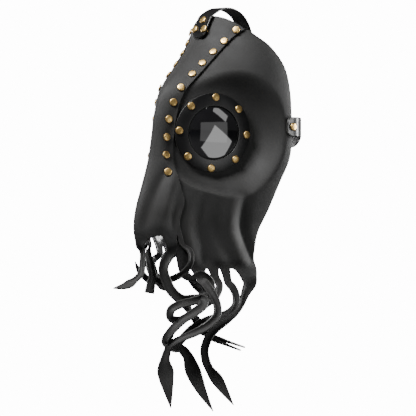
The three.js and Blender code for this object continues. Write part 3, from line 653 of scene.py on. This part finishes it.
def eye_parts(sign):
    side = "left" if sign > 0 else "right"
    place = lambda across, up, height: on_eye(across, up, height)
    ring_profile = rounded([
        (EYE_OPENING + 0.2, -1.6, True), (EYE_OPENING, RING_TOP, True), (EYE_RING, RING_TOP - 0.1, True),
        (EYE_RING + 0.3, -1.9, True),
    ], 0.45, 3)
    ring_profile.append(ring_profile[0])
    vertices, faces = lathe_points(ring_profile, 120, place)
    faces = [tuple(reversed(f)) for f in faces]
    vertices = [np.array(v) for v in vertices]
    for k, v in enumerate(vertices):
        away = v - EYE_CENTRE
        a, b = away @ EYE_T, away @ EYE_B
        for i in range(EYE_RIVETS):
            w = EYE_RIVET_TURN + 2 * math.pi * i / EYE_RIVETS
            gap = math.hypot(a - EYE_RIVET_CIRCLE * math.cos(w), b - EYE_RIVET_CIRCLE * math.sin(w))
            vertices[k] = vertices[k] - EYE_N * 0.25 * math.exp(-(gap / 5) ** 4)
    if sign < 0:
        vertices, faces = mirror(vertices, faces)
    piece = make_object(f"{side}_ring_leather", [v * MM for v in vertices], faces, [STRAP_LEATHER, EDGE_TONE_AND_PAINTED_HIGHLIGHT])
    # the ring's inner wall, lip and outer wall take the lighter cut-edge material, partly a painted
    # highlight where the lip catches light
    for polygon in piece.data.polygons:
        polygon.material_index = int(polygon.index // 120 in (3, 4, 5, 11))
    finish_piece(piece, "mask", [f"{side}_eye_ring"])

    radii = np.linspace(0, EYE_OPENING - 1.2, 26)
    front = [(r, -0.4 + 1.2 * (1 - (r / EYE_OPENING) ** 2)) for r in radii]
    lens_profile = front + rounded([
        (EYE_OPENING - 0.6, -0.9, False), (31.2, -0.95, True), (31.2, -2.0, True),
        (24, -2.0, False), (0, -0.6, False),
    ], 0.25, 2)
    vertices, faces = lathe_points(lens_profile, 120, place)
    faces = [tuple(reversed(f)) for f in faces]
    if sign < 0:
        vertices, faces = mirror(vertices, faces)
    piece = make_object(f"{side}_lens_acrylic", [np.array(v) * MM for v in vertices], faces, [LENS])
    finish_piece(piece, "mask", [f"{side}_lens"])


def rivet_mesh(point, normal, bottom, top):
    """A double-cap rivet: domed cap with a rolled rim, post and flat back cap."""
    normal = np.array(normal, float) / np.linalg.norm(normal)
    turn = Vector((0, 0, 1)).rotation_difference(Vector(normal)).to_matrix()
    cap = 4.0
    profile = [(0, bottom - 1.1), (2.6, bottom - 1.05), (3.2, bottom - 0.8), (3.3, bottom - 0.4),
               (3.1, bottom - 0.05), (1.5, bottom), (1.5, top), (cap - 0.35, top + 0.02),
               (cap - 0.05, top + 0.18), (cap, top + 0.5), (cap - 0.15, top + 1.0), (cap - 0.5, top + 1.35),
               (cap - 0.85, top + 1.5), (cap - 1.6, top + 1.62), (cap - 2.6, top + 1.72),
               (cap - 3.4, top + 1.76), (0, top + 1.78)]
    place = lambda x, y, h: np.array(point) + np.array(turn @ Vector((x, y, h)))
    return lathe_points(profile, 28, place)


def rivet_row(name, body, stands, nodes):
    vertices, faces = [], []
    for stand in stands:
        more, sides = rivet_mesh(*stand)
        faces.extend(tuple(len(vertices) + i for i in f) for f in sides)
        vertices.extend(more)
    piece = make_object(name, [np.array(v) * MM for v in vertices], faces, [RIVET_BRASS])
    finish_piece(piece, body, nodes)


def numbered(name, count):
    return [f"{name}_{i + 1}" for i in range(count)]


def rivets():
    back = -4.4
    tab_top = 3.25
    for side, sign in (("left", 1), ("right", -1)):
        stands = [(form_point(sign * seam_reach(z), z), form_normal(sign * seam_reach(z), z), back, 0.0)
                  for z in SEAM_RIVETS]
        rivet_row(f"{side}_seam_rivets", "mask", stands, numbered(f"{side}_seam_rivet", len(SEAM_RIVETS)))
        stands = []
        for i in range(EYE_RIVETS):
            w = EYE_RIVET_TURN + 2 * math.pi * i / EYE_RIVETS
            a, b = EYE_RIVET_CIRCLE * math.cos(w), EYE_RIVET_CIRCLE * math.sin(w)
            point, out = on_eye(a, b), on_eye(a, b, 1.0) - on_eye(a, b)
            flip = np.array([sign, 1, 1])
            stands.append((point * flip, out * flip, back, 0.35))
        rivet_row(f"{side}_eye_rivets", "mask", stands, numbered(f"{side}_eye_rivet", EYE_RIVETS))
        rivet_row(f"{side}_strap_rivet_brass", "back_strap",
                  [((sign * STRAP_OFFSET, 0, 0), (sign, 0, 0), -6.6, 1.0)], [f"{side}_strap_rivet"])
    stands = []
    for x, z in ((0, 107), (-6.8, 98), (6.8, 98)):
        point = form_point(0.0, z)
        point[0] = x
        stands.append((point, form_normal(0.0, z), back, tab_top))
    rivet_row("forehead_rivets", "mask", stands, numbered("forehead_rivet", 3))
    rivet_row("crown_loop_rivet_brass", "crown_strap",
              [((0, 44.6, 11), (0, 1, 0), -2.9, 2.9)], ["crown_loop_rivet"])


# ---------------------------------------------------------------- straps and buckle
STRAP_WIDTH = 20.0
STRAP_OFFSET = 76.9
STRAP_DROP = 10.0
BUCKLE_AT = np.array([-34.0, 41.5])
BUCKLE_TURN = math.radians(12)


def strap_height(x):
    return -STRAP_DROP * smooth01(76 - np.abs(x), 0, 40)


def by_buckle(along, out):
    return [BUCKLE_AT[0] - along * math.cos(BUCKLE_TURN) - out * math.sin(BUCKLE_TURN),
            BUCKLE_AT[1] - along * math.sin(BUCKLE_TURN) + out * math.cos(BUCKLE_TURN)]


def strap_grid(points, widthways, steps, round_start=0.0, round_end=0.0, lift=None):
    line, s = spline(points, steps)
    share = np.linspace(-1, 1, 13)
    grid = np.empty((steps, len(share), 3))
    for r in range(steps):
        half = STRAP_WIDTH / 2
        for gap, radius in ((s[r], round_start), (s[-1] - s[r], round_end)):
            if gap < radius:
                half = half * (0.42 + 0.58 * math.sqrt(1 - (1 - gap / radius) ** 2))
        middle = line[r].copy()
        if lift is not None:
            middle[2] += lift(middle[0])
        grid[r] = middle + np.outer(share * half, widthways)
    return grid


def strap_object(name, grid):
    vertices, faces = weld([grid])
    piece = make_object(name, vertices * MM, faces, [STRAP_LEATHER, EDGE_TONE_AND_PAINTED_HIGHLIGHT, STRAP_LEATHER])
    return thicken(piece, LEATHER)


def straps():
    up = np.array([0, 0, 1.0])
    left = [[STRAP_OFFSET, -8], [STRAP_OFFSET, 0], [STRAP_OFFSET, 6], [73.2, 14], [64, 23], [51, 32],
            [37, 38.6], [24, 42.6], [12, 44.6], [-4, 44.8], by_buckle(-20, -1), by_buckle(-13, 0.8),
            by_buckle(-6, 4.6), by_buckle(0, 5.6), by_buckle(8, 4.6), by_buckle(16, 3.9),
            [-59.2, 36.9], [-66.5, 31], [-71, 26]]
    right = [[-STRAP_OFFSET, -8], [-STRAP_OFFSET, 0], [-STRAP_OFFSET, 7], [-73.5, 15], [-67.5, 24.5],
             [-57.2, 34.3], by_buckle(16, 1.1), by_buckle(8, 1.1), by_buckle(3, 2.6), by_buckle(0, 3),
             by_buckle(-2.1, 2.1), by_buckle(-3, 0), by_buckle(-2.1, -2.1), by_buckle(0, -3),
             by_buckle(4, -2.6), by_buckle(9, -1.7), by_buckle(16, -1.8)]
    for side, route, end in (("left", left, 8.0), ("right", right, 0.0)):
        grid = strap_grid([[x, y, 0] for x, y in route], up, 170, 8.0, end, strap_height)
        piece = strap_object(f"{side}_strap_leather", grid)
        finish_piece(piece, "back_strap", [f"back_strap_{side}"])
    tab = [on_form(0.0, z, 2.3) for z in (89.5, 95, 100.5, 106, 111)]
    rest = [[0, -39, 118], [0, -31, 121], [0, -24, 121.4], [0, -16, 120.3], [0, -6, 116],
            [0, 2, 108], [0, 8, 96], [0, 16, 74], [0, 26, 48], [0, 37, 28],
            [0, 43.4, 18], [0, 47.4, 9], [0, 50.2, -1], [0, 50.4, -12],
            [0, 49.8, -22], [0, 45, -28.4], [0, 40, -22], [0, 39, -12], [0, 39.1, -1], [0, 42.6, 9.5],
            [0, 42.2, 15]]
    grid = strap_grid(tab + rest, np.array([-1.0, 0, 0]), 240, 9.0, 0.0)
    piece = strap_object("crown_strap_leather", grid)
    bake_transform(piece)
    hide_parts("crown_strap_front", "crown_strap_rear")


def tube(points, radius, segments=16, closed=False):
    p = np.array(points, float)
    n = len(p)
    tangent = (np.roll(p, -1, 0) - np.roll(p, 1, 0)) if closed else np.gradient(p, axis=0)
    tangent /= np.linalg.norm(tangent, axis=1, keepdims=True)
    side = np.cross(tangent[0], [0.3, 0.9, 0.2])
    vertices = []
    radii = np.broadcast_to(radius, (n,))
    for i in range(n):
        side = side - tangent[i] * (side @ tangent[i])
        side /= np.linalg.norm(side)
        other = np.cross(tangent[i], side)
        for a in np.linspace(0, 2 * math.pi, segments, endpoint=False):
            vertices.append(p[i] + radii[i] * (side * math.cos(a) + other * math.sin(a)))
    faces = []
    for i in range(n if closed else n - 1):
        j = (i + 1) % n
        for k in range(segments):
            m = (k + 1) % segments
            faces.append((i * segments + k, i * segments + m, j * segments + m, j * segments + k))
    if not closed:
        faces.append(tuple(reversed(range(segments))))
        faces.append(tuple(range((n - 1) * segments, n * segments)))
    return vertices, faces


def buckle():
    level = -STRAP_DROP
    rise, length, half, corner = 1.9, 20.0, 13.2, 3.5
    place = lambda along, z: [*by_buckle(along, -along / length * rise), level + z]
    outline = []
    for ca, cz, start in ((-corner, half - corner, 0), (-length + corner, half - corner, 1),
                          (-length + corner, corner - half, 2), (-corner, corner - half, 3)):
        for a in np.linspace(0, math.pi / 2, 7):
            w = a + start * math.pi / 2
            outline.append(place(ca + corner * math.cos(w), cz + corner * math.sin(w)))
    vertices, faces = tube(outline, 1.5, 14, True)
    piece = make_object("buckle_frame_brass", [np.array(v) * MM for v in vertices], faces, [BUCKLE_BRASS])
    finish_piece(piece, "buckle_frame", ["buckle_frame"])
    path = [[*by_buckle(2.55 * math.cos(a), 2.55 * math.sin(a)), level]
            for a in np.linspace(math.radians(235), math.radians(505), 18)]
    shank = ((6, 2.6), (10, 3.2), (14, 3.9), (18, 4.6), (21, 4.9), (22, 4.7))
    path += [[*by_buckle(-along, out), level] for along, out in shank]
    line, s = spline(path, 60)
    radii = np.interp(s / s[-1], [0, 0.9, 1], [0.95, 0.9, 0.55])
    vertices, faces = tube(line, radii, 12)
    piece = make_object("buckle_prong_brass", [np.array(v) * MM for v in vertices], faces, [BUCKLE_BRASS])
    finish_piece(piece, "buckle_prong", ["buckle_prong"])


def keeper():
    at, turn = np.array([-58.2, 35.6]), math.radians(34)
    level = float(strap_height(-58.2))
    along = np.array([math.cos(turn), math.sin(turn), 0])
    out = np.array([-math.sin(turn), math.cos(turn), 0])
    depth, height, corner = 4.65, 12.75, 1.8
    loop = []
    for cu, cz, start in ((depth - corner, height - corner, 0), (corner - depth, height - corner, 1),
                          (corner - depth, corner - height, 2), (depth - corner, corner - height, 3)):
        for a in np.linspace(0, math.pi / 2, 6):
            w = a + start * math.pi / 2
            loop.append(np.array([at[0], at[1], level]) + out * (cu + corner * math.cos(w))
                        + np.array([0, 0, cz + corner * math.sin(w)]))
    loop.append(loop[0])
    grid = np.array([[p + along * w for w in np.linspace(-3.4, 3.4, 7)] for p in loop])
    vertices, faces = weld([grid])
    piece = make_object("keeper_leather", vertices * MM, faces, [STRAP_LEATHER, EDGE_TONE_AND_PAINTED_HIGHLIGHT, STRAP_LEATHER])
    thicken(piece, 1.3)
    finish_piece(piece, "strap_keeper", ["strap_keeper"])


# ---------------------------------------------------------------- scene
def area_light(name, place, target, size, radiance, roll=0.0):
    light = bpy.data.lights.new(name, "AREA")
    light.shape = "RECTANGLE"
    light.size, light.size_y = size
    light.energy = radiance * math.pi * size[0] * size[1]
    made = bpy.data.objects.new(name, light)
    made.location = place
    turn = (Vector(target) - Vector(place)).to_track_quat("-Z", "Y").to_matrix().to_4x4()
    made.rotation_euler = (turn @ Matrix.Rotation(math.radians(roll), 4, "Z")).to_euler()
    bpy.context.scene.collection.objects.link(made)


def around(azimuth, distance, height):
    a = math.radians(azimuth)
    return (distance * math.sin(a), -distance * math.cos(a), height)


def studio():
    azimuth = math.radians(47)
    view = Vector((-math.sin(azimuth), math.cos(azimuth), 0))
    right = Vector((math.cos(azimuth), math.sin(azimuth), 0))
    distance = 3.2
    target = right * -0.03275 + view * -0.0775 + Vector((0, 0, -0.0817))
    camera = bpy.data.objects.new("camera", bpy.data.cameras.new("camera"))
    camera.location = target - view * distance
    camera.rotation_euler = view.to_track_quat("-Z", "Y").to_euler()
    camera.data.lens = 36 * distance / 0.416
    camera.data.clip_end = 50
    bpy.context.scene.collection.objects.link(camera)
    bpy.context.scene.camera = camera
    aim = (0.02, -0.07, -0.05)
    lens = (0.036, -0.07, -0.01)
    area_light("overhead", (0.32, -0.38, 1.35), (0.02, -0.05, 0.06), (0.6, 0.6), 6)
    area_light("top_front", around(0, 1.3, 1.35), (0, -0.06, 0.06), (0.55, 0.5), 85)
    area_light("lens_card", around(81, 1.2, -0.10), lens, (0.85, 0.5), 0.45)
    area_light("lens_card_low", around(82, 0.5, -0.16), lens, (0.3, 0.3), 1.9, 58)
    area_light("lens_arc", around(91, 1.1, 0.31), lens, (0.42, 0.14), 1.6, -35)
    area_light("rear_strip", around(150, 1.4, -0.1), (0.05, -0.02, -0.08), (0.2, 1.3), 70)
    area_light("left_rim", around(-80, 1.4, -0.1), aim, (0.3, 1.2), 16)
    world = bpy.data.worlds.new("studio")
    world.use_nodes = True
    bpy.context.scene.world = world
    tree = world.node_tree
    dim = tree.nodes["Background"]
    dim.inputs["Strength"].default_value = 0.05
    dim.inputs["Color"].default_value = (1, 1, 1, 1)
    seen = node(tree, "ShaderNodeBackground", Strength=14.0, Color=(1, 1, 1, 1))
    path = node(tree, "ShaderNodeLightPath")
    mix = node(tree, "ShaderNodeMixShader")
    tree.links.new(path.outputs["Is Camera Ray"], mix.inputs["Fac"])
    tree.links.new(dim.outputs["Background"], mix.inputs[1])
    tree.links.new(seen.outputs["Background"], mix.inputs[2])
    tree.links.new(mix.outputs["Shader"], tree.nodes["World Output"].inputs["Surface"])
    size, level = 14.0, -0.30
    corners = [(-size, -size, level), (size, -size, level), (size, size, level), (-size, size, level)]
    floor = make_object("floor", corners, [(0, 1, 2, 3)], [floor_material()], False)


def floor_material():
    """Bright white sweep: full white to the camera, dim to the mask's polished pieces."""
    material, tree, shader = new_material("pale_floor")
    shader.inputs["Base Color"].default_value = (0.03, 0.03, 0.03, 1)
    shader.inputs["Roughness"].default_value = 0.9
    glow = node(tree, "ShaderNodeEmission", Strength=14.0)
    path = node(tree, "ShaderNodeLightPath")
    mix = node(tree, "ShaderNodeMixShader")
    tree.links.new(path.outputs["Is Camera Ray"], mix.inputs["Fac"])
    tree.links.new(shader.outputs["BSDF"], mix.inputs[1])
    tree.links.new(glow.outputs["Emission"], mix.inputs[2])
    tree.links.new(mix.outputs["Shader"], tree.nodes["Material Output"].inputs["Surface"])
    return material


studio()
centre_panel()
side_panel(1, SIDE_LEGS, SIDE_ARCH, SIDE_RIBBONS)
side_panel(-1, FAR_LEGS, FAR_ARCH, FAR_RIBBONS)
eye_parts(1)
eye_parts(-1)
rivets()
straps()
buckle()
keeper()
